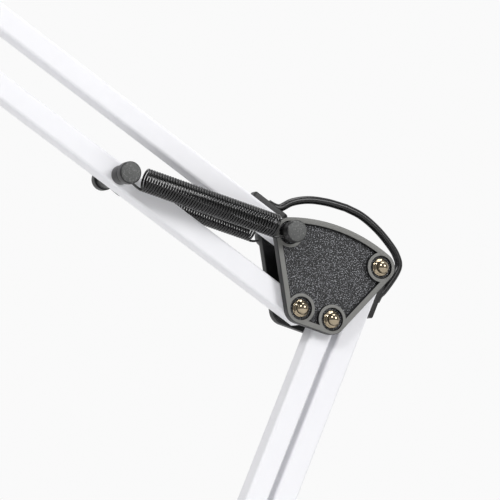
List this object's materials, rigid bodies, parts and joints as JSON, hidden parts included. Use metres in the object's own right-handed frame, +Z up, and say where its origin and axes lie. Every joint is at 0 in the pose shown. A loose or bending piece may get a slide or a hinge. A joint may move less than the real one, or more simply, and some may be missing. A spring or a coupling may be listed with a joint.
{
  "type": "swing arm desk lamp",
  "caption": "Swing arm desk lamp with parallelogram square-tube arms, black elbow plates, diagonal springs, bell shade and round weighted base.",
  "frame": {"origin": "centre of the base's flat underside, on the table", "axes": "+Z up; the arms fold in the XZ plane with the elbow towards +X and the shade over -X; the lamp's front, with the cap nuts, faces -Y"},
  "size_m": [0.5649, 0.3158, 0.7136],
  "materials": {
    "white_paint": "smooth satin white powder coat on steel tube and sheet",
    "black_moulded": "black moulded nylon with a fine-grained field and a smooth rim",
    "black_steel": "black blued spring steel, semi-gloss",
    "nickel": "polished nickel plate",
    "plated_steel": "zinc-plated steel",
    "cast_iron": "rough cast iron",
    "rubber": "matte black rubber",
    "cord_pvc": "black PVC cord, semi-gloss",
    "nylon": "natural nylon",
    "holder_plastic": "ivory heat-resistant moulding",
    "opal_glass": "opal glass"
  },
  "bodies": {
    "base": {"base_foot_pad": "rubber", "base_weight": "cast_iron", "base_cover": "white_paint", "base_socket": "black_moulded", "base_socket_nut": "plated_steel", "spigot_bush": "nylon", "cord_gland": "black_moulded", "mains_lead": "cord_pvc", "mains_coil": "cord_pvc", "mains_tail": "cord_pvc", "mains_plug": "black_moulded"},
    "bracket": {"lower_bracket": "black_moulded", "bracket_spigot": "plated_steel", "bracket_pivot_bolt": "plated_steel", "bracket_pivot_nut": "nickel", "bracket_spring_pin": "black_steel", "base_cord_loop": "cord_pvc"},
    "lower_left": {"lower_bar_left": "white_paint", "lower_spring_pin": "black_steel"},
    "lower_right": {"lower_bar_right": "white_paint", "lower_cord_run": "cord_pvc", "lower_grommet_near": "black_moulded", "lower_grommet_far": "black_moulded"},
    "lower_springs": {"lower_spring_front": "black_steel", "lower_spring_rear": "black_steel"},
    "lower_spring_ends": {"lower_spring_hook_front": "black_steel", "lower_spring_hook_rear": "black_steel"},
    "elbow": {"elbow_plate_front": "black_moulded", "elbow_plate_rear": "black_moulded", "elbow_spring_pin": "black_steel", "elbow_bolt_corner": "plated_steel", "elbow_nut_corner": "nickel", "elbow_bolt_inner": "plated_steel", "elbow_nut_inner": "nickel", "elbow_bolt_outer": "plated_steel", "elbow_nut_outer": "nickel", "elbow_cord_loop": "cord_pvc"},
    "upper_low": {"upper_bar_low": "white_paint", "upper_spring_pin": "black_steel"},
    "upper_high": {"upper_bar_high": "white_paint", "upper_cord_run": "cord_pvc", "upper_grommet_near": "black_moulded", "upper_grommet_far": "black_moulded"},
    "upper_springs": {"upper_spring_front": "black_steel", "upper_spring_rear": "black_steel"},
    "upper_spring_ends": {"upper_spring_hook_front": "black_steel", "upper_spring_hook_rear": "black_steel"},
    "head_bracket": {"head_plate_front": "black_moulded", "head_plate_rear": "black_moulded", "head_pivot_low": "nickel", "head_pivot_high": "nickel", "tilt_bolt": "plated_steel", "head_cord_loop": "cord_pvc"},
    "tilt_knob": {"tilt_knob": "black_moulded"},
    "knuckle": {"head_knuckle": "black_moulded"},
    "head": {"shade_cap": "black_moulded", "shade": "white_paint", "lamp_holder": "holder_plastic", "bulb": "opal_glass"},
    "switch": {"switch_button": "black_moulded"}
  },
  "joints": [
    {"name": "base_swivel", "type": "hinge", "parent": "base", "child": "bracket", "pos_m": [0, 0, 0.0646], "axis": [0, 0, 1], "range_deg": [-170, 170]},
    {"name": "lower_arm", "type": "hinge", "parent": "bracket", "child": "lower_right", "pos_m": [0.01448, 0, 0.11569], "axis": [0, -1, 0], "range_deg": [-3.4, 45], "deforming": ["base_cord_loop"]},
    {"name": "lower_arm_left", "type": "hinge", "parent": "bracket", "child": "lower_left", "pos_m": [-0.014, 0, 0.0876], "axis": [0, -1, 0], "range_deg": [-3.4, 45]},
    {"name": "elbow_level", "type": "hinge", "parent": "lower_right", "child": "elbow", "pos_m": [0.16442, 0, 0.46485], "axis": [0, -1, 0], "range_deg": [-45, 3.4], "deforming": ["elbow_cord_loop"]},
    {"name": "lower_spring_swing", "type": "hinge", "parent": "bracket", "child": "lower_springs", "pos_m": [0.01448, 0, 0.11569], "axis": [0, -1, 0], "range_deg": [-4.5, 56]},
    {"name": "lower_spring_stretch", "type": "slide", "parent": "lower_springs", "child": "lower_spring_ends", "axis": [0.2217, 0, 0.9751], "range_m": [-0.003, 0.0255], "deforming": ["lower_spring_front", "lower_spring_rear", "lower_spring_hook_front", "lower_spring_hook_rear"]},
    {"name": "upper_arm", "type": "hinge", "parent": "elbow", "child": "upper_high", "pos_m": [0.11174, 0, 0.48176], "axis": [0, -1, 0], "range_deg": [-18, 42], "deforming": ["elbow_cord_loop"]},
    {"name": "upper_arm_low", "type": "hinge", "parent": "elbow", "child": "upper_low", "pos_m": [0.11814, 0, 0.44228], "axis": [0, -1, 0], "range_deg": [-18, 42]},
    {"name": "head_level", "type": "hinge", "parent": "upper_high", "child": "head_bracket", "pos_m": [-0.20329, 0, 0.69426], "axis": [0, -1, 0], "range_deg": [-42, 18], "deforming": ["head_cord_loop"]},
    {"name": "upper_spring_swing", "type": "hinge", "parent": "elbow", "child": "upper_springs", "pos_m": [0.11174, 0, 0.48176], "axis": [0, -1, 0], "range_deg": [-20, 46]},
    {"name": "upper_spring_stretch", "type": "slide", "parent": "upper_springs", "child": "upper_spring_ends", "axis": [-0.9596, 0, 0.2814], "range_m": [-0.012, 0.0275], "deforming": ["upper_spring_front", "upper_spring_rear", "upper_spring_hook_front", "upper_spring_hook_rear"]},
    {"name": "head_tilt", "type": "hinge", "parent": "head_bracket", "child": "knuckle", "pos_m": [-0.2309, 0, 0.66877], "axis": [0, -1, 0], "range_deg": [-70, 30], "deforming": ["head_cord_loop"]},
    {"name": "tilt_knob_turn", "type": "hinge", "parent": "head_bracket", "child": "tilt_knob", "pos_m": [-0.2309, 0, 0.66877], "axis": [0, -1, 0], "range_deg": [-180, 0]},
    {"name": "head_roll", "type": "hinge", "parent": "knuckle", "child": "head", "pos_m": [-0.2309, 0, 0.66877], "axis": [-0.9848, 0, 0.1736], "range_deg": [-75, 75]},
    {"name": "switch_press", "type": "slide", "parent": "head", "child": "switch", "axis": [-0.1736, 0, -0.9848], "range_m": [0, 0.002], "stiffness_N_per_m": 400}
  ],
  "couplings": [
    {"joint": "lower_arm_left", "follows": "lower_arm", "ratio": 1},
    {"joint": "elbow_level", "follows": "lower_arm", "ratio": -1},
    {"joint": "lower_spring_swing", "follows": "lower_arm", "ratio": 1.233},
    {"joint": "lower_spring_stretch", "follows": "lower_arm", "m_per_rad": 0.03195},
    {"joint": "upper_arm_low", "follows": "upper_arm", "ratio": 1},
    {"joint": "head_level", "follows": "upper_arm", "ratio": -1},
    {"joint": "upper_spring_swing", "follows": "upper_arm", "ratio": 1.08},
    {"joint": "upper_spring_stretch", "follows": "upper_arm", "m_per_rad": 0.0364}
  ]
}
